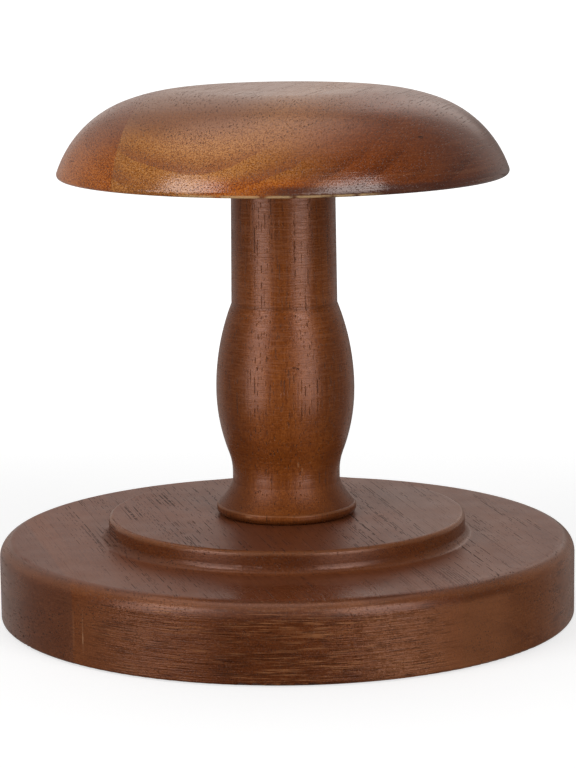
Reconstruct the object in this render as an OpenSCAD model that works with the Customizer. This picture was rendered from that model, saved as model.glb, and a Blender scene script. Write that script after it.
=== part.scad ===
// Turned wooden wig stand: a stepped disc base, a turned post and a domed cap.
// The cap and the base are discs turned from edge-glued boards. A hanger bolt is screwed
// into each end of the post, and its stud turns into a threaded insert in the cap or base.
// Z is up, and the origin is the centre of the underside of the base. Lengths in millimetres.

/* [Base] */
// Diameter of the base
base_d = 150; // [130:1:180]
// Thickness of the base at its outer step
base_h = 20.3; // [16:0.1:28]
// Radius of the round on the base's upper edge
base_shoulder_r = 4.1; // [1:0.1:8]
// Radius of the round on the base's lower edge
base_foot_r = 0.8; // [0.3:0.1:3]
// Diameter of the raised tier in the middle of the base
tier_d = 93; // [70:1:110]
// Height of the tier above the outer step
tier_h = 5.7; // [4:0.1:10]
// Radius of the round on the tier's edge
tier_edge_r = 1.2; // [0.3:0.1:2]
// Radius of the cove at the tier's foot
tier_cove_r = 2.2; // [0.5:0.1:2.8]

/* [Boards] */
// Width of the board at the left of the base, in from its rim
base_left_w = 11; // [6:1:40]
// Width of the board in the middle of the base
base_board_w = 90; // [60:1:94]
// Turn of the base's grain away from the front-to-back line, in degrees
base_grain = 14; // [-45:1:45]
// Width of the board at the left of the cap, in from its rim
cap_left_w = 28; // [10:1:45]
// Turn of the cap's grain away from the front-to-back line, in degrees
cap_grain = -15; // [-45:1:45]

/* [Post] */
// Length of the post from the tier to the cap
post_h = 88.4; // [84:0.1:120]
// Diameter of the post over the edge of its foot
foot_d = 36.4; // [33:0.1:60]
// Height of that edge above the tier
foot_edge_h = 2.2; // [2.1:0.1:3]
// Radius of the round on the edge
foot_edge_r = 0.6; // [0.3:0.05:0.8]
// Radius of the round under the edge
foot_under_r = 1.6; // [0.8:0.1:2]
// Height of the flared foot, up to the crease at the neck
flare_h = 9.1; // [6:0.1:14]
// How far the flare is hollowed below a straight cone
flare_hollow = 0.5; // [0.1:0.05:0.8]
// Diameter of the neck
neck_d = 27.9; // [24:0.1:31]
// Height of the straight part of the neck
neck_h = 1.9; // [0.5:0.1:5]
// Radius of the cove between the neck and the bulb
neck_cove_r = 15; // [5:0.5:25]
// Diameter of the bulb at its widest
bulb_d = 35.9; // [33:0.1:50]
// Height of the bulb's widest point above the tier
bulb_z = 32.9; // [28:0.1:44]
// Diameter of the shank at the crease above the bulb
shank_d = 27.4; // [24:0.1:31]
// Height of that crease above the tier
shank_z = 55.3; // [50:0.1:72]
// Diameter of the shank under the cap
shank_top_d = 26.8; // [23:0.1:30]

/* [Cap] */
// Diameter of the cap
cap_d = 116; // [95:1:145]
// Thickness of the cap
cap_h = 22; // [20:0.1:34]
// Diameter of the flat on top of the cap
cap_flat_d = 47; // [20:1:60]
// Radius of the round on the cap's lower edge
cap_edge_r = 1; // [0.5:0.1:2]
// Inward lean of the cap's side just above that edge, in degrees
cap_lean = 19; // [5:0.5:30]
// Length of the crown's arc against the shoulder's, measured along their tangents
cap_crown = 0.65; // [0.4:0.05:1.2]

/* [Hardware] */
// Thread diameter of the studs
stud_d = 8; // [6:0.5:9]
// Pitch of the studs' thread
stud_pitch = 1.25; // [1:0.05:1.5]
// Length of each stud past its washer
stud_len = 13.5; // [10:0.1:15]
// Diameter of the bolts' wood thread
screw_d = 8; // [6:0.5:9]
// Pitch of the wood thread
screw_pitch = 3; // [2:0.25:4]
// Length of the wood thread inside the post, with its point
screw_len = 30; // [18:0.5:36]
// Length of the pointed end of the wood thread
screw_tip = 6; // [3:0.5:8]
// Plain collar on the bolt between the two threads
collar_h = 3; // [1:0.1:5]
// Outer diameter of the inserts' wood thread
insert_d = 12.5; // [12:0.1:14]
// Length of an insert below its flange
insert_len = 13; // [10:0.1:13.5]
// Pitch of the inserts' outer thread
insert_pitch = 3; // [2:0.25:4]
// Diameter of an insert's flange
flange_d = 16.5; // [15:0.1:20]
// Thickness of an insert's flange
flange_h = 1.5; // [1:0.1:2]
// Width of the driver slot across an insert's flange
slot_w = 1.6; // [1:0.1:2.5]
// Outer diameter of the washers
washer_d = 16; // [13:0.1:18]
// Thickness of the washers
washer_h = 1.6; // [1:0.1:2]
// Depth of all thread grooves, as a share of the pitch
thread_depth = 0.3; // [0.2:0.05:0.4]

/* [Clearances] */
// Running clearance round a stud in its insert
stud_gap = 0.08; // [0.04:0.01:0.15]
// Clearance round the wood threads in their pilot holes
screw_gap = 0.04; // [0.02:0.01:0.1]
// Clearance round the flanges and washers in their recesses
seat_gap = 0.3; // [0.15:0.05:0.6]
// Clearance of a washer on its stud
washer_gap = 0.2; // [0.1:0.05:0.5]
// Room past the ends of the studs, inserts and screw points
end_gap = 1; // [0.5:0.1:2]

/* [Hidden] */
$fn = 96;
wood_dark = "#5f3420";
wood_mid = "#7a4526";
zinc = "#c9c3a8";
steel = "#b4b8bc";

base_r = base_d / 2;
tier_r = tier_d / 2;
tier_z = base_h + tier_h;
cap_z = tier_z + post_h;
foot_r = foot_d / 2;
neck_r = neck_d / 2;
bulb_r = bulb_d / 2;
shank_r = shank_d / 2;

// Glue joints, measured from the axis across the grain
base_joint_left = base_left_w - base_r;
base_joint_right = base_joint_left + base_board_w;
cap_joint = cap_left_w - cap_d / 2;

// A slab this long and high takes in the whole stand
reach = 2 * (base_d + cap_d);

// Recesses and pilot holes for the hardware, shared by the pieces that seat it
flange_hole_r = flange_d / 2 + seat_gap;
washer_hole_r = washer_d / 2 + seat_gap;
insert_hole_r = insert_d / 2 + screw_gap;
screw_hole_r = screw_d / 2 + screw_gap;
insert_depth = flange_h + insert_len;
pocket_depth = max(insert_depth, stud_len) + end_gap;

// Turned arcs have radii in hundredths, so that neighbouring arcs meet at the same point
function hundredths(x) = round(100 * x) / 100;

// S-curve from the neck to the bulb: two arcs that both start upright. The bulb's arc is a
// little fuller than the tangent one, so that the two cross instead of only touching.
curve_fuller = 0.05;
curve_z = flare_h + neck_h;
curve_h = bulb_z - curve_z;
curve_a = 2 * atan((bulb_r - neck_r) / curve_h);
bulb_low_r = hundredths(curve_h / sin(curve_a) - neck_cove_r + curve_fuller);
turn_z = curve_z + neck_cove_r * sin(curve_a);
turn_r = neck_r + neck_cove_r * (1 - cos(curve_a));

// Arc from the bulb's widest point up to the crease, and the shank's line carried down to it
crease_h = shank_z - bulb_z;
crease_in = bulb_r - shank_r;
bulb_top_r = hundredths((crease_h * crease_h + crease_in * crease_in) / (2 * crease_in));
shank_taper = (shank_r - shank_top_d / 2) / (post_h - shank_z);
shank_low_r = shank_r + shank_taper * crease_h;

// Hollow of the flare: an arc on a chord from inside the foot's edge to inside the neck
edge_inset = 0.4 * foot_edge_r;
edge_rise = 0.5 * foot_edge_r;
past_neck = 1.1;
flare_low = [foot_r - edge_inset, foot_edge_h + edge_rise];
flare_top = flare_low + past_neck * ([neck_r, flare_h] - flare_low);
flare_chord = flare_low - flare_top;
flare_len = norm(flare_chord);
flare_r = (flare_len * flare_len / 4 + flare_hollow * flare_hollow) / (2 * flare_hollow);
flare_out = [-flare_chord.y, flare_chord.x] / flare_len;
flare_centre = (flare_low + flare_top) / 2 + flare_out * (flare_r - flare_hollow);

// Dome of the cap: a crown arc that leaves the flat level, then a shoulder arc that reaches
// the rounded lower edge at its lean. The two share a tangent where they meet, and the
// shoulder is moved by a hair so that it crosses both neighbours instead of only touching.
hair = 0.004;
edge_centre = [cap_d / 2 - cap_edge_r, cap_edge_r];
lean_out = [cos(cap_lean), sin(cap_lean)];
dome_start = [cap_flat_d / 2, cap_h];
dome_end = edge_centre + cap_edge_r * lean_out;
dome_level = [1, 0];
dome_down = [lean_out.y, -lean_out.x];
dome_span = dome_end - dome_start;
dome_b = dome_span * (cap_crown * dome_level + dome_down);
dome_c = 2 * cap_crown * (1 - dome_level * dome_down);
shoulder_leg = (sqrt(dome_b * dome_b + dome_c * (dome_span * dome_span)) - dome_b) / dome_c;
crown_leg = cap_crown * shoulder_leg;
meet_line = dome_span - crown_leg * dome_level - shoulder_leg * dome_down;
meet_a = -atan2(meet_line.y, meet_line.x);
meet = dome_start + crown_leg * (dome_level + meet_line / norm(meet_line));
meet_out = [sin(meet_a), cos(meet_a)];
function meet_line_x(z) = meet.x + (z - meet.y) * tan(meet_a);
crown_r = hundredths(crown_leg / tan(meet_a / 2));
shoulder_r = shoulder_leg / tan((90 - cap_lean - meet_a) / 2);
crown_centre = dome_start - [0, crown_r];
shoulder_centre = meet - shoulder_r * meet_out + hair * [-1, 1];

// Half outline of the base disc: rounded rim, level step, cove and tier
module base_outline() {
    square([base_r - base_foot_r, base_h - base_shoulder_r]);
    translate([base_r - base_foot_r, base_foot_r])
        circle(base_foot_r);
    translate([0, base_foot_r])
        square([base_r, base_h - base_shoulder_r - base_foot_r]);
    translate([base_r - base_shoulder_r, base_h - base_shoulder_r])
        circle(base_shoulder_r);
    square([base_r - base_shoulder_r, base_h]);
    difference() {
        square([tier_r + tier_cove_r, base_h + tier_cove_r]);
        translate([tier_r + tier_cove_r, base_h + tier_cove_r])
            circle(tier_cove_r);
    }
    square([tier_r - tier_edge_r, tier_z]);
    square([tier_r, tier_z - tier_edge_r]);
    translate([tier_r - tier_edge_r, tier_z - tier_edge_r])
        circle(tier_edge_r);
}

// Half outline of the post, from the edge of its foot to the plain shank under the cap
module post_outline() {
    square([foot_r - foot_under_r, foot_edge_h]);
    translate([foot_r - foot_under_r, foot_under_r])
        circle(foot_under_r);
    translate([0, foot_under_r])
        square([foot_r, foot_edge_h - foot_under_r]);
    translate([foot_r - foot_edge_r, foot_edge_h])
        circle(foot_edge_r);
    difference() {
        polygon([[0, foot_under_r], [flare_low.x, foot_under_r], flare_low, flare_top, [0, flare_top.y]]);
        translate(flare_centre)
            circle(flare_r);
    }
    square([neck_r, bulb_z]);
    difference() {
        translate([0, curve_z])
            square([turn_r, turn_z - curve_z + neck_h]);
        translate([neck_r + neck_cove_r, curve_z])
            circle(neck_cove_r);
    }
    bulb_part(bulb_low_r, curve_z, shank_z);
    bulb_part(bulb_top_r, bulb_z, post_h);
    polygon([[0, bulb_z], [shank_low_r, bulb_z], [shank_top_d / 2, post_h], [0, post_h]]);
}

// Half outline of the bulb between two heights, on an arc of the given radius
module bulb_part(arc_r, low, high) {
    intersection() {
        translate([bulb_r - arc_r, bulb_z])
            circle(arc_r);
        translate([0, low])
            square([bulb_r + hair, high - low]);
    }
}

// Half outline of the cap: flat top, crown, shoulder and rounded lower edge
module cap_outline() {
    square([dome_start.x, cap_h]);
    intersection() {
        translate(crown_centre)
            circle(crown_r);
        polygon([[0, 0], [meet_line_x(0), 0], [meet_line_x(cap_h), cap_h], [0, cap_h]]);
    }
    intersection() {
        translate(shoulder_centre)
            circle(shoulder_r);
        polygon([
            [0, 0],
            [edge_centre.x, 0],
            edge_centre,
            edge_centre + 2 * cap_edge_r * lean_out,
            [edge_centre.x + 2 * cap_edge_r, cap_h],
            [0, cap_h],
        ]);
    }
    translate(edge_centre)
        circle(cap_edge_r);
}

// One board of a turned disc: what lies between two lines along the grain
module board(grain, from, to) {
    intersection() {
        children();
        rotate([0, 0, grain])
            translate([from, -reach / 2, -reach / 2])
                cube([to - from, reach, reach]);
    }
}

// Pocket for an insert, drilled down from its flange, with a relief hole past the end
module insert_pocket() {
    translate([0, 0, -flange_h])
        cylinder(r = flange_hole_r, h = flange_h + end_gap);
    translate([0, 0, -pocket_depth])
        cylinder(r = insert_hole_r, h = pocket_depth);
}

// The base disc, with the pocket for its insert and washer
module base_disc() {
    difference() {
        rotate_extrude()
            base_outline();
        translate([0, 0, tier_z - washer_h])
            insert_pocket();
        translate([0, 0, tier_z - washer_h])
            cylinder(r = flange_hole_r, h = washer_h + end_gap);
    }
}

// The cap disc, with the pocket for its insert in the underside
module cap_disc() {
    translate([0, 0, cap_z])
        difference() {
            rotate_extrude()
                cap_outline();
            mirror([0, 0, 1])
                insert_pocket();
        }
}

module base_board_left() {
    color(wood_dark)
        board(base_grain, -reach / 2, base_joint_left)
            base_disc();
}

module base_board_middle() {
    color(wood_mid)
        board(base_grain, base_joint_left, base_joint_right)
            base_disc();
}

module base_board_right() {
    color(wood_mid)
        board(base_grain, base_joint_right, reach / 2)
            base_disc();
}

module cap_board_left() {
    color(wood_dark)
        board(cap_grain, -reach / 2, cap_joint)
            cap_disc();
}

module cap_board_right() {
    color(wood_mid)
        board(cap_grain, cap_joint, reach / 2)
            cap_disc();
}

// The post, with a pilot hole in each end and a recess for the washer under the cap
module post() {
    color(wood_mid)
        translate([0, 0, tier_z])
            difference() {
                rotate_extrude()
                    post_outline();
                translate([0, 0, -end_gap])
                    cylinder(r = screw_hole_r, h = screw_len + 2 * end_gap);
                translate([0, 0, post_h - washer_h - screw_len - end_gap])
                    cylinder(r = screw_hole_r, h = screw_len + washer_h + 2 * end_gap);
                translate([0, 0, post_h - washer_h])
                    cylinder(r = washer_hole_r, h = washer_h + end_gap);
            }
}

// Solid rod up from z = 0 with a thread, drawn as rings of its pitch
module threaded_rod(crest_r, pitch, length) {
    root_r = crest_r - thread_depth * pitch;
    turns = floor(length / pitch);
    rotate_extrude()
        polygon([
            [0, 0],
            for (i = [0:turns - 1]) each [[root_r, i * pitch], [crest_r, (i + 0.5) * pitch]],
            [root_r, turns * pitch],
            [root_r, length],
            [0, length],
        ]);
}

// Hanger bolt from its shoulder: stud up through the washer, collar and pointed wood thread down
module hanger_bolt() {
    stud = washer_h + stud_len;
    screw_body = screw_len - collar_h - screw_tip;
    root_r = screw_d / 2 - thread_depth * screw_pitch;
    color(steel)
        union() {
            threaded_rod(stud_d / 2, stud_pitch, stud);
            translate([0, 0, -collar_h])
                cylinder(d = min(stud_d, screw_d), h = collar_h);
            translate([0, 0, -collar_h - screw_body])
                threaded_rod(screw_d / 2, screw_pitch, screw_body);
            translate([0, 0, -screw_len])
                cylinder(r1 = 0, r2 = root_r, h = screw_tip);
        }
}

// Bolt at the foot: its stud points down into the base
module foot_bolt() {
    translate([0, 0, tier_z])
        mirror([0, 0, 1])
            hanger_bolt();
}

// Bolt under the cap: its shoulder lies under the washer in the post's end
module cap_bolt() {
    translate([0, 0, cap_z - washer_h])
        hanger_bolt();
}

// Threaded insert below its flange face: ringed outside, plain bore for the stud, driver slot
module threaded_insert() {
    color(zinc)
        difference() {
            union() {
                translate([0, 0, -insert_depth])
                    threaded_rod(insert_d / 2, insert_pitch, insert_len);
                translate([0, 0, -flange_h])
                    cylinder(d = flange_d, h = flange_h);
            }
            translate([0, 0, -insert_depth - end_gap])
                cylinder(r = stud_d / 2 + stud_gap, h = insert_depth + 2 * end_gap);
            translate([-flange_d, -slot_w / 2, -flange_h / 2])
                cube([2 * flange_d, slot_w, flange_h]);
        }
}

module base_insert() {
    translate([0, 0, tier_z - washer_h])
        threaded_insert();
}

module cap_insert() {
    translate([0, 0, cap_z])
        mirror([0, 0, 1])
            threaded_insert();
}

// Flat washer standing on z = 0
module washer() {
    color(steel)
        difference() {
            cylinder(d = washer_d, h = washer_h);
            translate([0, 0, -end_gap])
                cylinder(r = stud_d / 2 + washer_gap, h = washer_h + 2 * end_gap);
        }
}

module foot_washer() {
    translate([0, 0, tier_z - washer_h])
        washer();
}

module cap_washer() {
    translate([0, 0, cap_z - washer_h])
        washer();
}

base_board_left();
base_board_middle();
base_board_right();
base_insert();
foot_washer();
post();
foot_bolt();
cap_bolt();
cap_washer();
cap_board_left();
cap_board_right();
cap_insert();
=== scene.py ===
"""Looks of a turned wooden wig stand: stained, semi-gloss hardwood over zinc and steel fittings.

The wood keeps its CAD shapes and gets finishes that run through the solid: growth layers,
vessels, fibre and stain follow each board's own grain, and fine rings follow the lathe.
The two hanger bolts and the washers are drawn again, with real helical threads and rolled edges.
"""

import math

import bpy
import numpy as np
from mathutils import Matrix, Vector


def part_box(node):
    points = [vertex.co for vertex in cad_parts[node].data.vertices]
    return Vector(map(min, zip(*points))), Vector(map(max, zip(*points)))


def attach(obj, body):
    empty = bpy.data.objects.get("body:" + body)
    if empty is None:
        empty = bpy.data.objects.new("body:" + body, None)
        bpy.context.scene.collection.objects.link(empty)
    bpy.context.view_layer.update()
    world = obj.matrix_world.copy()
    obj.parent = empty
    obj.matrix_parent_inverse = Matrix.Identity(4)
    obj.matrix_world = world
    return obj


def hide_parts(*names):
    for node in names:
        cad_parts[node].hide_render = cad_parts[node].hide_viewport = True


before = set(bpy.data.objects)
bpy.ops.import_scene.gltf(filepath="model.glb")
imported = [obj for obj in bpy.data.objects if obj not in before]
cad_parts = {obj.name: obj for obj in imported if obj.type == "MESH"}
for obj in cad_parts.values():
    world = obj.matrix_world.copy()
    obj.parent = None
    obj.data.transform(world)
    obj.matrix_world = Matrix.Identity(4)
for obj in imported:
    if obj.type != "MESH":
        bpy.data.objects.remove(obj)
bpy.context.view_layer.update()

MM = 0.001

# Heights of the tier's top, the cap's underside and the washers, in millimetres
TIER_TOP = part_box("post")[0].z / MM
CAP_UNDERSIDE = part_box("post")[1].z / MM
WASHER_THICK = (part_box("foot_washer")[1].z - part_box("foot_washer")[0].z) / MM

# Unit vectors of each disc's grain: along it, and across it in the plane of the disc
UP = (0, 0, 1)
BASE_TURN = math.radians(14)
BASE_ALONG = (math.sin(BASE_TURN), -math.cos(BASE_TURN), 0)
BASE_ACROSS = (math.cos(BASE_TURN), math.sin(BASE_TURN), 0)
CAP_TURN = math.radians(-15)
CAP_ALONG = (-math.sin(CAP_TURN), math.cos(CAP_TURN), 0)
CAP_ACROSS = (math.cos(CAP_TURN), math.sin(CAP_TURN), 0)


class Tree:
    """Node tree of a material or world, whose plugs take fields, sockets and plain values."""

    def __init__(self, owner):
        owner.use_nodes = True
        self.nodes, self.links = owner.node_tree.nodes, owner.node_tree.links

    def add(self, kind, **settings):
        node = self.nodes.new(kind)
        for key, value in settings.items():
            setattr(node, key, value)
        return node

    def feed(self, plug, value):
        """Links a field or socket into a plug, or sets a plain value on it."""
        if isinstance(value, Field):
            value = value.socket
        if isinstance(value, bpy.types.NodeSocket):
            self.links.new(value, plug)
        else:
            plug.default_value = value

    def split(self, vector):
        """The three parts of a vector socket."""
        node = self.add("ShaderNodeSeparateXYZ")
        self.feed(node.inputs[0], vector)
        return [Field(self, plug) for plug in node.outputs]

    def size(self, vector):
        """Length of a vector socket."""
        node = self.add("ShaderNodeVectorMath", operation="LENGTH")
        self.feed(node.inputs[0], vector)
        return Field(self, node.outputs["Value"])

    def mix(self, share, below, above):
        """Lays one colour over another by a share from 0 to 1."""
        node = self.add("ShaderNodeMix", data_type="RGBA")
        self.feed(node.inputs[0], share)
        for plug, colour in ((node.inputs[6], below), (node.inputs[7], above)):
            self.feed(plug, (*colour, 1.0) if isinstance(colour, tuple) else colour)
        return node.outputs[2]


class Field:
    """A number that varies from place to place: one output socket of a node tree.

    Arithmetic with other fields, sockets and plain numbers adds Math nodes.
    """

    def __init__(self, tree, socket):
        self.tree, self.socket = tree, socket

    def math(self, operation, *others):
        node = self.tree.add("ShaderNodeMath", operation=operation)
        for plug, value in zip(node.inputs, (self, *others)):
            self.tree.feed(plug, value)
        return Field(self.tree, node.outputs[0])

    def __add__(self, other):
        return self.math("ADD", other)

    def __sub__(self, other):
        return self.math("SUBTRACT", other)

    def __mul__(self, other):
        return self.math("MULTIPLY", other)

    def __truediv__(self, other):
        return self.math("DIVIDE", other)

    def __abs__(self):
        return self.math("ABSOLUTE")

    def fraction(self):
        return self.math("FRACT")

    def swing(self, amount):
        """A noise from 0 to 1 turned into a swing of half the amount about 0."""
        return (self - 0.5) * amount

    def larger(self, other):
        return self.math("MAXIMUM", other)

    def step(self, start, end, low=0.0, high=1.0):
        """Smooth change from low at start to high at end, which may lie below start."""
        node = self.tree.add("ShaderNodeMapRange", interpolation_type="SMOOTHSTEP")
        for plug, value in zip(node.inputs, (self, start, end, low, high)):
            self.tree.feed(plug, value)
        return Field(self.tree, node.outputs[0])

    def band(self, low, high, soft):
        """1 between low and high, with soft sides of the given width outside them."""
        return self.step(low - soft, low) * self.step(high + soft, high)


class Finish(Tree):
    """One material as fields over its piece's own coordinates, in millimetres."""

    def __init__(self, name):
        self.material = bpy.data.materials.new(name)
        super().__init__(self.material)
        self.shader = self.nodes["Principled BSDF"]
        where = self.add("ShaderNodeTexCoord")
        scaled = self.add("ShaderNodeVectorMath", operation="SCALE")
        scaled.inputs["Scale"].default_value = 1 / MM
        self.feed(scaled.inputs[0], where.outputs["Object"])
        self.place = scaled.outputs[0]
        self.facing = where.outputs["Normal"]
        self.x, self.y, self.z = self.split(self.place)
        self.radius = self.length(self.x, self.y)
        # Falls or rises steadily along every turned profile of the stand, so that lines
        # of equal value are the rings that a tool leaves
        self.lathe = self.radius - self.z

    def point(self, x, y, z=0.0):
        """A vector socket from three fields or numbers."""
        node = self.add("ShaderNodeCombineXYZ")
        for plug, value in zip(node.inputs, (x, y, z)):
            self.feed(plug, value)
        return node.outputs[0]

    def length(self, x, y, z=0.0):
        return self.size(self.point(x, y, z))

    def reach(self, direction):
        """Distance of each point from the origin along a direction."""
        return self.dot(self.place, direction)

    def dot(self, vector, direction):
        node = self.add("ShaderNodeVectorMath", operation="DOT_PRODUCT")
        self.feed(node.inputs[0], vector)
        node.inputs[1].default_value = direction
        return Field(self, node.outputs["Value"])

    def noise(self, vector, detail=1.0):
        return Field(self, self.noise_node(vector, detail).outputs["Fac"])

    def noise_pair(self, vector, detail):
        """Two noises that don't follow each other, each about 0."""
        parts = self.add("ShaderNodeSeparateColor")
        self.feed(parts.inputs[0], self.noise_node(vector, detail).outputs["Color"])
        return [Field(self, plug) - 0.5 for plug in parts.outputs[:2]]

    def noise_node(self, vector, detail):
        node = self.add("ShaderNodeTexNoise")
        self.feed(node.inputs["Vector"], vector)
        node.inputs["Scale"].default_value = 1.0
        node.inputs["Detail"].default_value = detail
        node.inputs["Roughness"].default_value = 0.5
        return node

    def drift(self, level, upright, detail=1.0):
        """Noise of one size in the level plane and of another upright."""
        return self.noise(self.point(self.x / level, self.y / level, self.z / upright), detail)

    def cloud(self, size, detail=3.0):
        """Noise of one size in every direction."""
        return self.drift(size, size, detail)

    def turning(self, gap, long, detail):
        """Noise in rings a gap apart, as a lathe leaves them, each changing over a length."""
        return self.noise(self.point(self.x / long, self.y / long, self.lathe / gap), detail)

    def cells(self, vector):
        """Distance to the nearest of points scattered in a plane, and two numbers of its own."""
        node = self.add("ShaderNodeTexVoronoi", voronoi_dimensions="2D")
        self.feed(node.inputs["Vector"], vector)
        node.inputs["Scale"].default_value = 1.0
        parts = self.add("ShaderNodeSeparateColor")
        self.feed(parts.inputs[0], node.outputs["Color"])
        own = [Field(self, plug) for plug in parts.outputs[:2]]
        return Field(self, node.outputs["Distance"]), *own

    def ramp(self, field, colours):
        """Colour by a field from 0 to 1, through evenly spaced colours."""
        node = self.add("ShaderNodeValToRGB")
        self.feed(node.inputs[0], field)
        elements = node.color_ramp.elements
        while len(elements) < len(colours):
            elements.new(1.0)
        for index, colour in enumerate(colours):
            elements[index].position = index / (len(colours) - 1)
            elements[index].color = (*colour, 1.0)
        return node.outputs[0]

    def relief(self, height):
        """Bumps the surface by a height in millimetres."""
        node = self.add("ShaderNodeBump")
        node.inputs["Strength"].default_value = 1.0
        node.inputs["Distance"].default_value = MM
        self.feed(node.inputs["Height"], height)
        self.feed(self.shader.inputs["Normal"], node.outputs[0])

    def set(self, **values):
        """Feeds the shader's sockets, named as in roughness or specular_ior_level."""
        for name, value in values.items():
            socket = name.replace("_", " ").title().replace("Ior", "IOR")
            self.feed(self.shader.inputs[socket], value)


class Wood(Finish):
    """Stained wood with its grain in one direction.

    Growth layers are cylinders about the pith, a line along the grain; vessels are thin tubes
    along the grain that show as dots on end grain and as dashes on the board's faces. The
    fibres under the finish tint its reflections, so that highlights are warm.
    """

    def __init__(self, name, along, across, upward, pith, layer, sway=4.0, phase=0.0):
        """Sets the places across and along the grain, and a and b, which sway across it."""
        super().__init__(name)
        self.across, through, self.along = (self.reach(way) for way in (across, upward, along))
        bend = self.point(self.across / 45, through / 45, self.along / 130)
        sway_a, sway_b = self.noise_pair(bend, detail=1.5)
        self.a, self.b = self.across + sway_a * sway, through + sway_b * sway
        self.rings = self.length(self.a - pith[0], self.b - pith[1])
        uneven = self.streaks(14, 80)
        self.season = (self.rings / layer + uneven * 0.7 + phase).fraction()
        self.late = self.season.step(0.3, 0.86) * self.season.step(1.0, 0.9)
        self.face_up = self.dot(self.facing, UP).step(0.2, 0.9)
        self.set(specular_tint=(1.0, 0.64, 0.54, 1.0))

    def streaks(self, fine, long, detail=2.0):
        """Noise drawn out along the grain."""
        return self.noise(self.point(self.a / fine, self.b / fine, self.along / long), detail)

    def vessels(self, gap, width, long, share):
        """Cut-open vessels: tubes a gap apart, open over a share of their length."""
        near, own, other = self.cells(self.point(self.a / gap, self.b / gap))
        # Each tube's own numbers take it to another part of the noise, so it opens by itself
        stretch = self.noise(self.point(own * 60.0, self.along / long, other * 60.0), detail=0.0)
        size = (own * 0.6 + 0.7) * (width / gap)
        inside = (near / size).step(1.0, 0.4)
        return inside * stretch.step(1.0 - share, 1.05 - share)

    def patch(self, across, along, wide, long):
        """1 inside a ragged patch drawn out along the grain, with a half-size each way."""
        away = self.length((self.across - across) / wide, (self.along - along) / long)
        return (away + self.cloud(3).swing(0.9)).step(1.0, 0.5)

    def tool_lines(self, gap, long, start, end):
        """Fine rings left by the lathe and by sanding, broken along the turn."""
        return self.turning(gap, long, detail=1.5).step(start, end)

    def spot(self, centre, size):
        """1 inside a ragged mark about a point, with a half-size along each axis."""
        x, y, z = ((axis - c) / s for axis, c, s in zip((self.x, self.y, self.z), centre, size))
        return (self.length(x, y, z) + self.cloud(0.4, 2.0).swing(0.5)).step(1.0, 0.6)

    def edge(self, radius, height, width):
        """1 along a turned edge, given as a point of the profile, ragged by wear."""
        away = self.length(self.radius - radius, self.z - height)
        return (away / width + self.cloud(5).swing(1.4)).step(1.0, 0.35)


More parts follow.
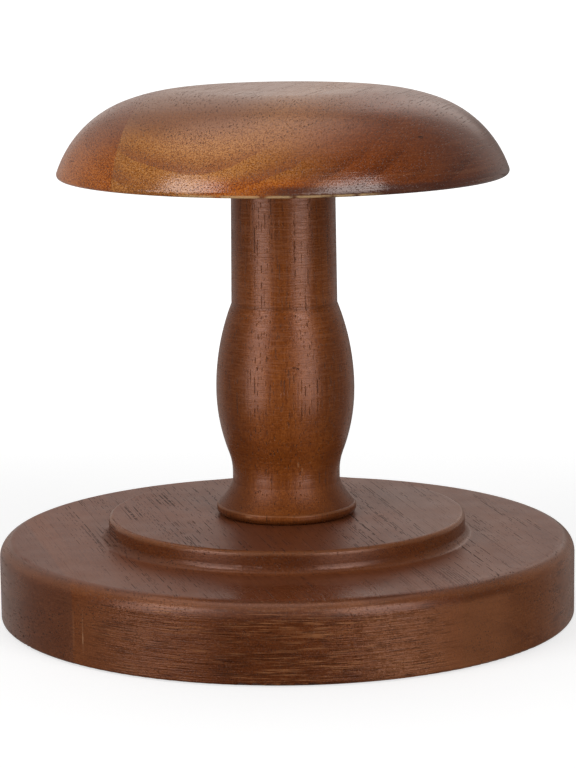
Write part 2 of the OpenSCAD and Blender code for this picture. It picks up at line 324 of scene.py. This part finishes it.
def base_wood(name, tones):
    """Base boards: brown stain, dark vessel dashes on top, fine torn lines round the side.

    Places are in millimetres from the middle of the table face, with the front at negative y.
    """
    wood = Wood(name, BASE_ALONG, BASE_ACROSS, UP, pith=(-4, -91), layer=7.0)
    fibre = wood.streaks(0.45, 16)
    fleck = wood.streaks(0.22, 1.2, detail=1.0)
    layers = wood.late * wood.streaks(12, 90).step(0.35, 0.65) * -0.2

    # Parts of the base, each 1 inside
    flat = wood.dot(wood.facing, UP).step(0.93, 0.995)
    side = wood.radius.step(72.6, 74.6)
    below = wood.z.step(17.6, 15.8)
    near = wood.y.step(-30, -52)
    on_tier = wood.z.step(24.6, 25.6)
    rounded = near * wood.radius.step(70.5, 72) * wood.z.step(15, 18)
    step_front = wood.x.band(-12, 20, 12) * near * wood.radius.band(60, 71, 6)
    side_front = wood.x.band(-14, 6, 10) * wood.y.step(-25, -50) * wood.radius.step(71, 74)
    tier_front = wood.x.band(-22, 30, 12) * wood.y.step(-10, -34) * on_tier
    shoulder = wood.x.band(24, 52, 10) * rounded
    right_end = wood.x.step(54, 68) * wood.z.step(18, 20)

    # Painted shade and painted dark reflection: darker on the front, on the shoulder's right and
    # at the right end
    painted_shade = step_front * 0.42 + side_front * 0.26 + tier_front * 0.25
    painted_shade = painted_shade + (shoulder + right_end) * 0.35
    tone = layers + wood.cloud(26).swing(0.8) + fibre.swing(0.9) + fleck.swing(1.2) - painted_shade
    tone = tone + wood.face_up * 0.3 + side * 0.17 + 0.56
    colour = wood.ramp(tone, tones)
    # Painted reflection tint: the flat tops are redder, for the warm tint of their reflections
    colour = wood.mix(flat * 0.15, colour, (0.27, 0.05, 0.012))
    # Painted highlight: the side is lighter where the lamps are reflected, left and right of the
    # front
    painted_side_highlight = wood.x.band(24, 50, 9) + wood.x.band(-50, -36, 6) * 0.4
    painted_side_highlight = painted_side_highlight * wood.y.step(-20, -45) * side * below
    colour = wood.mix(painted_side_highlight * 0.42, colour, (0.27, 0.105, 0.047))

    # Vessels crowd in one growth layer, in streaks and in a few patches
    crowded = wood.streaks(9, 60).step(0.5, 0.62) * 0.8
    crowded = crowded.larger(wood.rings.band(116.5, 120.5, 2.0))
    wide = wood.vessels(0.95, 0.17, 3.0, 0.55)
    fine = wood.vessels(0.55, 0.11, 2.2, 0.5)
    sparse = wood.x.step(-12, -30) * -0.15 + 0.35
    pores = (wide * (crowded * 0.65 + sparse)).larger(fine * (crowded * 0.6 + 0.25))
    patches = wood.patch(-47.2, -6.0, 3.5, 16).larger(wood.patch(-39.7, -9.9, 5, 11))
    patches = patches.larger(wood.patch(-28.0, -23.7, 4, 10))
    patches = patches.larger(wood.patch(-28.8, 6.7, 3.5, 6))
    patches = patches.larger(wood.patch(22, 59, 15, 15) * 0.42)
    pores = pores.larger(wood.vessels(0.6, 0.23, 1.5, 0.68) * patches)
    colour = wood.mix(pores * 0.9, colour, (0.014, 0.004, 0.002))

    # The tool scored and tore the fibres where the side crosses them, and less at the two ends
    crossed = wood.x.band(-42, 34, 9)
    scored = crossed * 0.8 + 0.2
    rubbed = wood.drift(24, 8, detail=2.0).step(0.36, 0.62) * (side * 0.75 + 0.1)
    front = wood.x.band(-46, 22, 22) * wood.y.step(10, -30)
    pale = wood.tool_lines(0.26, 6, 0.52, 0.68) * rubbed * (front * 0.3 + 0.7) * scored
    colour = wood.mix(pale * 0.6, colour, (0.36, 0.15, 0.06))
    dark = wood.tool_lines(0.32, 6, 0.48, 0.32) * (side * 0.7 + 0.1)
    dark = dark * scored.larger(wood.x.step(62, 69))
    colour = wood.mix(dark * 0.7, colour, (0.03, 0.007, 0.002))
    breaks = wood.drift(0.8, 1.2).step(0.35, 0.65) * 0.85 + 0.15
    depth = wood.x.band(12, 32, 7) * 0.25 + 0.45
    torn = wood.drift(11, 0.3).swing(1.0) * breaks * depth * side * below * crossed

    # Worn upper edges, pale streaks down the left of the side and pale specks on the step
    worn = wood.edge(46.2, 25.7, 1.1).larger(wood.edge(73.9, 19.2, 1.6) * 0.5)
    colour = wood.mix(worn * 0.3, colour, (0.3, 0.12, 0.05))
    streak = wood.spot((-50.0, -55.9, 7.1), (0.2, 0.9, 2.0)) * 0.5
    streak = streak.larger(wood.spot((-50.0, -55.9, 8.5), (0.22, 0.9, 6.5)) * 0.16)
    streak = streak.larger(wood.spot((-52.4, -53.7, 8.5), (0.25, 0.9, 6.5)) * 0.1)
    colour = wood.mix(streak, colour, (0.4, 0.22, 0.12))
    specks = wood.spot((9.1, -57.5, 20.3), (0.5, 0.4, 0.6))
    specks = specks.larger(wood.spot((8.8, -64.4, 20.3), (0.4, 0.4, 0.6)))
    specks = specks.larger(wood.cloud(0.45, 1.0).step(0.62, 0.72) * step_front * 0.7)
    colour = wood.mix(specks * 0.5, colour, (0.4, 0.22, 0.12))

    # Painted shade darkens the corner at the tier's foot on the left and dims its reflection
    painted_corner_shade = wood.edge(47.1, 20.9, 1.6) * wood.x.step(-22, -34)
    colour = wood.mix(painted_corner_shade * 0.3, colour, (0.045, 0.014, 0.007))

    # The finish is smoother on the step's front, and a thin hazy film lies on the flats and
    # on the front of the shoulder
    gloss = wood.cloud(7).swing(0.16) + pores * 0.3 + pale * 0.1 + painted_corner_shade * 0.25
    gloss = gloss + flat * (step_front * -0.16 + 0.14) + 0.28
    hazy = wood.x.band(-42, -22, 6) * near + wood.x.step(18, 34) * near.larger(on_tier)
    sheen = (wood.face_up - flat) * 0.3 - side * below * 0.26 + 0.6
    sheen = sheen + hazy * flat * 0.2 - side * wood.x.step(52, 66) * 0.14
    film = flat * (hazy * 0.22 - step_front * 0.2 + 0.22)
    film = film + wood.x.band(-16, 18, 10) * rounded * 0.3
    wood.set(base_color=colour, roughness=gloss, specular_ior_level=sheen)
    wood.set(coat_weight=film, coat_roughness=0.6)
    wood.relief(pores * -0.07 + pale * 0.015 + torn + fibre.swing(0.02) + fleck.swing(0.012))
    return wood


def post_wood(name):
    """Post: upright grain, dark vessel dashes and fine rings left by sanding on the lathe."""
    wood = Wood(name, UP, (1, 0, 0), (0, 1, 0), pith=(9, 34), layer=6.0, sway=2.5)
    fibre = wood.streaks(0.4, 14)
    fleck = wood.streaks(0.2, 0.5, detail=1.0)
    tone = wood.late * -0.1 + wood.cloud(15).swing(0.5)
    tone = tone + fibre.swing(0.9) + fleck.swing(1.3) + 0.53
    tones = (0.085, 0.018, 0.0025), (0.178, 0.044, 0.006), (0.29, 0.086, 0.017)
    colour = wood.ramp(tone, tones)
    # Painted shade: the post is darker on its left and right flanks
    painted_flank_shade = (abs(wood.x) + wood.cloud(12).swing(6)).step(6.5, 13)
    colour = wood.mix(painted_flank_shade * 0.45, colour, (0.075, 0.022, 0.009))

    pores = wood.vessels(0.95, 0.16, 2.4, 0.48).larger(wood.vessels(0.6, 0.1, 1.8, 0.5) * 0.8)
    colour = wood.mix(pores * 0.6, colour, (0.02, 0.006, 0.003))
    lines = wood.tool_lines(0.34, 6, 0.46, 0.64) * (wood.z.step(52, 72) * 0.7 + 0.3)
    colour = wood.mix(lines * 0.2, colour, (0.31, 0.115, 0.045))
    crease = wood.z.band(81.2, 81.6, 0.5)
    colour = wood.mix(crease * 0.3, colour, (0.05, 0.014, 0.005))
    worn = wood.edge(18.1, 28.6, 0.45)
    colour = wood.mix(worn * 0.25, colour, (0.36, 0.16, 0.07))

    nick = wood.spot((2.3, -17.7, 66.9), (0.6, 1.0, 0.25))
    nick = nick.larger(wood.spot((3.2, -17.5, 66.6), (0.6, 1.0, 0.22)))
    colour = wood.mix(nick * 0.7, colour, (0.03, 0.009, 0.004))
    scratch = wood.spot((3.1, -14.3, 41.2), (0.3, 0.8, 1.1))
    scratch = scratch.larger(wood.spot((4.1, -13.7, 39.8), (0.25, 0.8, 0.7)))
    colour = wood.mix(scratch * 0.4, colour, (0.42, 0.2, 0.09))
    chip = wood.spot((-9.6, -15.3, 28.0), (1.3, 0.9, 0.35))
    colour = wood.mix(chip * 0.5, colour, (0.4, 0.18, 0.08))

    # Painted shade darkens the band under the foot's edge, down to the seam
    under = wood.z.step(27.9, 26.9)
    colour = wood.mix(under * 0.45, colour, (0.035, 0.011, 0.005))

    gloss = wood.cloud(5).swing(0.12) + pores * 0.35 + lines * 0.12
    gloss = gloss + wood.z.band(28.5, 35, 1.5) * 0.1 + 0.27
    sheen = wood.z.step(33, 37) * 0.2 + wood.z.step(76, 86) * 0.12 + 0.48
    wood.set(base_color=colour, roughness=gloss, specular_ior_level=sheen)
    cut = pores * -0.12 + lines * 0.024 + nick * -0.2
    wood.relief(cut + fibre.swing(0.025) + fleck.swing(0.016))
    return wood


def cap_wood(name, left_board):
    """Cap boards: a paler wood, with wide growth layers that arc across the front of the dome."""
    pith = -11, 166
    wood = Wood(name, CAP_ALONG, CAP_ACROSS, UP, pith, layer=6.6, sway=5.0, phase=-0.24)
    fibre = wood.streaks(0.45, 15)
    fleck = wood.streaks(0.3, 0.6, detail=1.0)
    stain = wood.cloud(18)
    # Each growth layer darkens slowly and ends in a crisp line
    bold = 0.12 if left_board else wood.z.step(127, 119) * 0.28 + 0.06
    layers = wood.season.step(0.25, 0.95) * wood.streaks(11, 80).step(0.25, 0.55) * bold
    lively = wood.across.step(30, 2)
    tone = stain.swing(0.9) + fibre.swing(0.9) + fleck.swing(2.7) * (lively * 1.1 + 0.5)
    tone = tone - layers + 0.63
    if left_board:
        tones = (0.2, 0.042, 0.005), (0.38, 0.096, 0.011), (0.52, 0.16, 0.032)
        colour = wood.ramp(tone, tones)
        shaded = (wood.z + stain.swing(8)).step(119, 130)
        colour = wood.mix(shaded * 0.7, colour, (0.17, 0.054, 0.026))
    else:
        gold = (0.23, 0.072, 0.012), (0.4, 0.14, 0.028), (0.52, 0.22, 0.065)
        brown = (0.062, 0.012, 0.002), (0.15, 0.032, 0.005), (0.25, 0.06, 0.011)
        ember = (0.2, 0.036, 0.003), (0.38, 0.078, 0.005), (0.5, 0.14, 0.015)
        blush = wood.season.step(0.3, 0.9) * wood.z.step(115, 119) * wood.z.step(129, 122)
        reach = wood.across + stain.swing(16)
        left, right = (wood.ramp(tone, tones) for tones in (gold, brown))
        colour = wood.mix(reach.step(-1, 33), left, right)
        # Painted shade: the upper dome left of the middle is darker, carrying the left board's
        # shade across the joint
        painted_upper_shade = (wood.z + stain.swing(6)).step(125.5, 132) * wood.across.step(16, -4)
        colour = wood.mix(painted_upper_shade * 0.72, colour, (0.21, 0.07, 0.032))
        colour = wood.mix(blush * reach.step(34, 8) * 0.5, colour, (0.27, 0.085, 0.04))
        low = wood.z.step(120.5, 116.5) * wood.across.band(0, 16, 9)
        colour = wood.mix(low * 0.85, colour, wood.ramp(tone, ember))
        # Painted shade: a dark band along the lower right rim, for the dark reflection there, and
        # a darker far right
        painted_right_shade = (wood.z + stain.swing(2)).step(117.8, 116.4) * reach.step(4, 16)
        painted_right_shade = painted_right_shade.larger(wood.across.step(32, 54) * 0.75)
        colour = wood.mix(painted_right_shade * 0.8, colour, (0.055, 0.022, 0.017))
        knot = wood.spot((33.5, -38.2, 126.9), (1.1, 1.1, 0.5))
        colour = wood.mix(knot * 0.7, colour, (0.03, 0.010, 0.006))

    crowded = (wood.season + wood.cloud(9).swing(0.5)).step(0.3, 0.7) * 0.5 + 0.5
    pores = wood.vessels(0.9, 0.15, 2.2, 0.62).larger(wood.vessels(0.55, 0.1, 2.0, 0.6) * 0.8)
    pores = pores * crowded * (lively * 0.45 + 0.55)
    colour = wood.mix(pores * 0.78, colour, (0.04, 0.01, 0.003))
    lines = wood.tool_lines(0.45, 18, 0.5, 0.75)
    colour = wood.mix(lines * 0.12, colour, (0.42, 0.19, 0.09))
    # Painted highlight: a pale line along the lower edge across the front, over the paler
    # unstained wood of the underside's edge
    painted_edge_highlight = wood.z.step(115.3, 114.8) * wood.cloud(4).step(0.3, 0.5) * wood.x.band(-21, 19, 6)
    colour = wood.mix(painted_edge_highlight * 0.75, colour, (0.66, 0.44, 0.22))

    gloss = wood.cloud(7).swing(0.12) + pores * 0.35
    flat = wood.dot(wood.facing, UP).step(0.85, 0.98)
    wood.set(base_color=colour, roughness=gloss + flat * 0.06 + 0.185)
    wood.set(specular_ior_level=0.8, specular_tint=(1.0, 0.88, 0.84, 1.0))
    wood.relief(pores * -0.12 + lines * 0.008 + fibre.swing(0.02) + fleck.swing(0.012))
    return wood


def metal(name, colour, shade, dull, gap):
    """Plated or cast metal: cloudy plating, fine turning rings and darker specks."""
    finish = Finish(name)
    cloud = finish.cloud(2.2, detail=4.0)
    rings = finish.turning(gap, 6, detail=1.0)
    specks = finish.cloud(0.5, detail=2.0).step(0.62, 0.75)
    tint = finish.mix(cloud.step(0.3, 0.75), shade, colour)
    tint = finish.mix(specks * 0.35, tint, (0.16, 0.13, 0.10))
    finish.set(base_color=tint, metallic=1.0, roughness=rings * 0.16 + cloud * 0.1 + dull)
    finish.relief(rings * 0.02 + specks * -0.02)
    return finish


def revolve(name, rows, columns, shape, ring=False):
    """A closed surface about the Z axis: a shape gives radius and height by turn and row.

    Rows run upwards on the outside, from 0 to 1. The last row of a ring meets its first, and
    any other shape is closed by a fan of triangles about the axis at each end.
    """
    turn = np.linspace(0, 2 * math.pi, columns, endpoint=False)
    row = np.linspace(0, 1, rows, endpoint=not ring)
    v, u = np.meshgrid(row, turn, indexing="ij")
    radius, height = shape(u, v)
    points = np.stack([radius * np.cos(u), radius * np.sin(u), height], axis=-1).reshape(-1, 3)
    here = np.arange(columns)
    there = (here + 1) % columns
    lower = np.arange(rows if ring else rows - 1)[:, None] * columns
    upper = (lower + columns) % len(points)
    corners = lower + here, lower + there, upper + there, upper + here
    quads = np.stack(corners, axis=-1).reshape(-1, 4)
    fans = np.zeros((0, 3), dtype=int)
    if not ring:
        bottom, top = len(points), len(points) + 1
        crown = (rows - 1) * columns
        fans = np.concatenate([
            np.stack([np.full(columns, bottom), there, here], axis=-1),
            np.stack([np.full(columns, top), crown + here, crown + there], axis=-1)])
        points = np.concatenate([points, [(0, 0, height[0].mean()), (0, 0, height[-1].mean())]])
    return mesh_object(name, points, quads, fans)


def mesh_object(name, points, quads, fans):
    """A smooth mesh of points in millimetres, quads and triangles, placed by its vertices."""
    corners = np.concatenate([quads.ravel(), fans.ravel()])
    starts = np.concatenate([np.arange(len(quads)) * 4, quads.size + np.arange(len(fans)) * 3])
    mesh = bpy.data.meshes.new(name)
    mesh.vertices.add(len(points))
    mesh.vertices.foreach_set("co", (points * MM).astype(np.float32).ravel())
    mesh.loops.add(len(corners))
    mesh.loops.foreach_set("vertex_index", corners.astype(np.int32))
    mesh.polygons.add(len(starts))
    mesh.polygons.foreach_set("loop_start", starts.astype(np.int32))
    mesh.polygons.foreach_set("use_smooth", np.ones(len(starts), dtype=bool))
    mesh.update(calc_edges=True)
    piece = bpy.data.objects.new(name, mesh)
    bpy.context.scene.collection.objects.link(piece)
    return piece


def hanger_bolt(name, shoulder, point_up):
    """Hanger bolt with helical threads: stud, plain collar, then a pointed wood screw.

    The distance s runs from the stud's end, 0, to the screw's point. Radius is root plus
    depth times a wave of (height / pitch - turn / full turn), so that both threads are
    right-handed, and an envelope tapers the stud's tip and the screw's point.
    """
    stud, collar, screw = 15.1, 3.0, 27.0
    total = stud + collar + screw
    stud_pitch, stud_radius, stud_groove = 1.25, 3.98, 0.6
    stud_run_out, stud_fade = 0.5, 0.6
    tip_radius, tip_slope = 2.9, 1.1
    screw_pitch, screw_root, screw_ridge = 3.0, 2.95, 1.0
    screw_sharp, screw_fade = 2.2, 1.5
    point_radius, point_ridge, point_length = 0.06, 0.25, 7.0

    def shape(u, v):
        s = v * total if point_up else (1 - v) * total
        height = shoulder + (s - stud) * (1 if point_up else -1)
        turns = u / (2 * math.pi)
        machine = np.abs(2 * ((height / stud_pitch - turns) % 1.0) - 1)
        coarse = np.abs(2 * ((height / screw_pitch - turns) % 1.0) - 1)
        on_stud = np.clip((stud - stud_run_out - s) / stud_fade, 0, 1)
        on_screw = np.clip((s - stud - collar) / screw_fade, 0, 1)
        taper = np.clip((total - s) / point_length, 0, 1)
        shank = stud_radius - on_stud * stud_groove * machine
        ridge = screw_ridge * np.clip(1 - screw_sharp * coarse, 0, 1)
        ridge = ridge * (point_ridge + (1 - point_ridge) * taper)
        wood_thread = point_radius + taper * (screw_root - point_radius) + ridge
        radius = shank * (1 - on_screw) + wood_thread * on_screw
        return np.minimum(radius, tip_radius + s * tip_slope), height

    return revolve(name, rows=420, columns=48, shape=shape)


def washer(name, bottom):
    """Flat washer: a rectangle with rounded corners carried once round the axis.

    With c and s the cosine and sine of the way round the section, radius and height are the
    section's middle plus its half-sizes times c and s raised to a small power with their signs.
    """
    inner, outer, soft = 4.2, 8.0, 0.22
    middle, half = (inner + outer) / 2, (outer - inner) / 2

    def shape(u, v):
        c, s = np.cos(v * 2 * math.pi), np.sin(v * 2 * math.pi)
        radius = middle + half * np.sign(c) * np.abs(c) ** soft
        height = bottom + WASHER_THICK / 2 * (1 + np.sign(s) * np.abs(s) ** soft)
        return radius, height

    return revolve(name, rows=96, columns=72, shape=shape, ring=True)


def dress(node, finish):
    """Gives a CAD node its finish."""
    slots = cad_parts[node].data.materials
    slots.clear()
    slots.append(finish.material)


def fit(piece, node, body, finish):
    """A drawn piece takes the place of a CAD node and moves with its body."""
    piece.data.materials.append(finish.material)
    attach(piece, body)
    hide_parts(node)


BASE_TONES = (0.060, 0.014, 0.0035), (0.112, 0.029, 0.008), (0.185, 0.056, 0.017)
LEFT_TONES = (0.055, 0.016, 0.007), (0.096, 0.030, 0.013), (0.146, 0.048, 0.021)
RIGHT_TONES = (0.056, 0.015, 0.004), (0.106, 0.030, 0.009), (0.17, 0.055, 0.0175)

dress("base_board_left", base_wood("wood_base_left", LEFT_TONES))
dress("base_board_middle", base_wood("wood_base_middle", BASE_TONES))
dress("base_board_right", base_wood("wood_base_right", RIGHT_TONES))
dress("post", post_wood("wood_post"))
dress("cap_board_left", cap_wood("wood_cap_left", left_board=True))
dress("cap_board_right", cap_wood("wood_cap_right", left_board=False))

steel = metal("zinc_plated_steel", (0.62, 0.62, 0.60), (0.42, 0.43, 0.44), dull=0.26, gap=0.22)
zinc = metal("cast_zinc", (0.50, 0.49, 0.46), (0.32, 0.31, 0.29), dull=0.36, gap=0.35)
dress("base_insert", zinc)
dress("cap_insert", zinc)
foot_washer_low = TIER_TOP - WASHER_THICK
cap_washer_low = CAP_UNDERSIDE - WASHER_THICK
fit(hanger_bolt("foot_hanger_bolt", TIER_TOP, True), "foot_bolt", "post", steel)
fit(hanger_bolt("cap_hanger_bolt", cap_washer_low, False), "cap_bolt", "post", steel)
fit(washer("foot_flat_washer", foot_washer_low), "foot_washer", "foot_washer", steel)
fit(washer("cap_flat_washer", cap_washer_low), "cap_washer", "cap_washer", steel)


def emptied(owner):
    """Node tree of a new material or world, without the nodes that it starts with."""
    tree = Tree(owner)
    tree.nodes.clear()
    return tree


def stage_floor():
    """Pale floor that looks white to the camera and still takes the stand's shadow."""
    half, under = 6.0, -0.0003
    mesh = bpy.data.meshes.new("floor")
    corners = [(x * half, y * half, under) for x, y in ((-1, -1), (1, -1), (1, 1), (-1, 1))]
    mesh.from_pydata(corners, [], [(0, 1, 2, 3)])
    floor = bpy.data.objects.new("floor", mesh)
    bpy.context.scene.collection.objects.link(floor)
    material = bpy.data.materials.new("pale_floor")
    tree = emptied(material)
    where = tree.add("ShaderNodeTexCoord")
    path = tree.add("ShaderNodeLightPath")
    glow = tree.size(where.outputs["Object"]).step(0.1, 0.5, 0.66, 0.97)
    lift = tree.add("ShaderNodeEmission")
    tree.feed(lift.inputs["Strength"], glow * path.outputs["Is Camera Ray"])
    paper = tree.add("ShaderNodeBsdfDiffuse")
    paper.inputs["Color"].default_value = (0.5, 0.5, 0.5, 1)
    both = tree.add("ShaderNodeAddShader")
    tree.feed(both.inputs[0], paper.outputs[0])
    tree.feed(both.inputs[1], lift.outputs[0])
    output = tree.add("ShaderNodeOutputMaterial")
    tree.feed(output.inputs["Surface"], both.outputs[0])
    mesh.materials.append(material)
    floor.visible_glossy = False
    floor.visible_shadow = False


def studio_room():
    """Soft room: dim in front, brighter overhead, with a pale backdrop for the finish."""
    world = bpy.data.worlds.new("studio")
    bpy.context.scene.world = world
    tree = emptied(world)
    where = tree.add("ShaderNodeTexCoord")
    x, y, z = tree.split(where.outputs["Generated"])

    overhead = z.step(0.7, 0.95, 0.0, 1.15) * y.step(-0.5, 0.05) * x.step(0.1, 0.45, 1.0, 0.2)
    fill = y.step(0.1, 0.7, 0.04, 0.45)

    # Backdrop as the finish reflects it: brightest behind the stand, just above level, dimmer
    # to both sides and below, with a window to the upper right
    under = x.step(-0.4, 0.4, 0.42, 0.22) + x.step(0.28, 0.5, 0.0, 0.2)
    under = under * y.step(0.3, 0.7)
    sideways = x.step(-0.5, 0.1, 0.5, 1.0) * x.step(0.04, 0.26, 1.0, 0.25)
    window = x.step(0.05, 0.2, 0.0, 1.1) * z.step(0.12, 0.3)
    sideways = (sideways + window) * x.step(0.3, 0.55, 1.0, 0.5)
    height = z.step(-0.04, 0.05, 0.0, 0.86) * z.step(0.08, 0.2, 1.0, 0.86)
    backdrop = under.larger(height * sideways * y.step(0.5, 0.9))
    reflected = backdrop.larger(y.step(-0.2, 0.5, 0.04, 0.2))

    path = tree.add("ShaderNodeLightPath")
    glossy = Field(tree, path.outputs["Is Glossy Ray"])
    mirrored = glossy.larger(path.outputs["Is Transmission Ray"])
    around = fill + (reflected - fill) * mirrored + overhead
    warm = tree.mix(mirrored, (1.0, 1.0, 1.0), (1.0, 0.89, 0.83))
    background = tree.add("ShaderNodeBackground")
    tree.feed(background.inputs["Color"], warm)
    tree.feed(background.inputs["Strength"], around.larger(path.outputs["Is Camera Ray"]))
    output = tree.add("ShaderNodeOutputWorld")
    tree.feed(output.inputs["Surface"], background.outputs[0])


def soft_panel(name, azimuth, away, low, high, width, radiance):
    """A soft upright panel between two heights that faces the stand.

    Its azimuth runs from the camera's side towards the right.
    """
    height = high - low
    data = bpy.data.lights.new(name, "AREA")
    data.shape = "RECTANGLE"
    data.size, data.size_y = width, height
    data.energy = radiance * math.pi * width * height
    panel = bpy.data.objects.new(name, data)
    angle = math.radians(azimuth)
    panel.location = (away * math.sin(angle), -away * math.cos(angle), (low + high) / 2)
    panel.rotation_euler = (math.pi / 2, 0, angle)
    panel.visible_camera = False
    bpy.context.scene.collection.objects.link(panel)


def photo_camera():
    """Camera fitted to the photograph: long lens, ten degrees above level, slightly rolled."""
    away, elevation, roll = 0.74657, math.radians(9.964), math.radians(-0.65)
    target = Vector((0.0007, 0, 0.059765))
    back = Vector((0, -math.cos(elevation), math.sin(elevation)))
    right = Vector((1, 0, 0))
    up = back.cross(right)
    side = math.cos(roll) * right + math.sin(roll) * up
    top = math.cos(roll) * up - math.sin(roll) * right
    data = bpy.data.cameras.new("camera")
    data.sensor_fit = "VERTICAL"
    data.sensor_height = 36.0
    data.lens = 134.77
    camera = bpy.data.objects.new("camera", data)
    turn = Matrix((side, top, back)).transposed().to_4x4()
    camera.matrix_world = Matrix.Translation(target + away * back) @ turn
    bpy.context.scene.collection.objects.link(camera)
    bpy.context.scene.camera = camera


stage_floor()
studio_room()
for side, azimuth in (("left", -49), ("right", 37)):
    place = {"azimuth": azimuth, "away": 0.72, "width": 0.40}
    soft_panel("low_panel_" + side, low=-0.15, high=0.38, radiance=2.9, **place)
    soft_panel("high_panel_" + side, low=0.38, high=0.68, radiance=4.6, **place)
photo_camera()
bpy.context.scene.view_settings.view_transform = "Standard"
